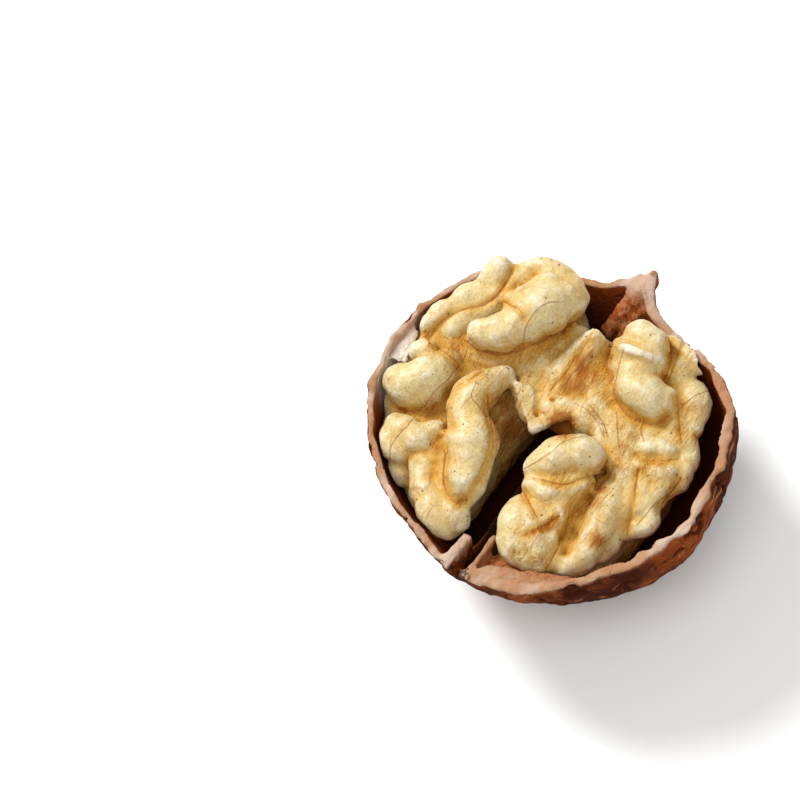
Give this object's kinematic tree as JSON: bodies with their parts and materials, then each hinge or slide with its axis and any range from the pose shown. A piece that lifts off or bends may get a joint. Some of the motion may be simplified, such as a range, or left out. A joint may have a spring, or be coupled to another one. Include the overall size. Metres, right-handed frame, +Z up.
{
  "type": "opened walnut half",
  "caption": "Half of an opened walnut: a wrinkled woody half shell with a pointed tip, holding the folded kernel over a thin dry partition.",
  "frame": {"origin": "middle of the small flat spot that the half shell rests on", "axes": "+X along the nut from its stem end to its pointed tip, +Z up out of the open shell, +Y to the side where the kernel's hooked fold lies"},
  "size_m": [0.0399, 0.0396, 0.0213],
  "materials": {
    "shell": "dry woody shell, mottled dark red-brown outside and pale tan where it is split",
    "kernel": "cream kernel skin, ochre in the creases, with fine specks and veins; wood stands in for nut flesh",
    "partition": "thin dry woody partition, dark brown"
  },
  "bodies": {
    "root": {"shell": "shell", "kernel": "kernel", "partition": "partition"}
  },
  "joints": []
}
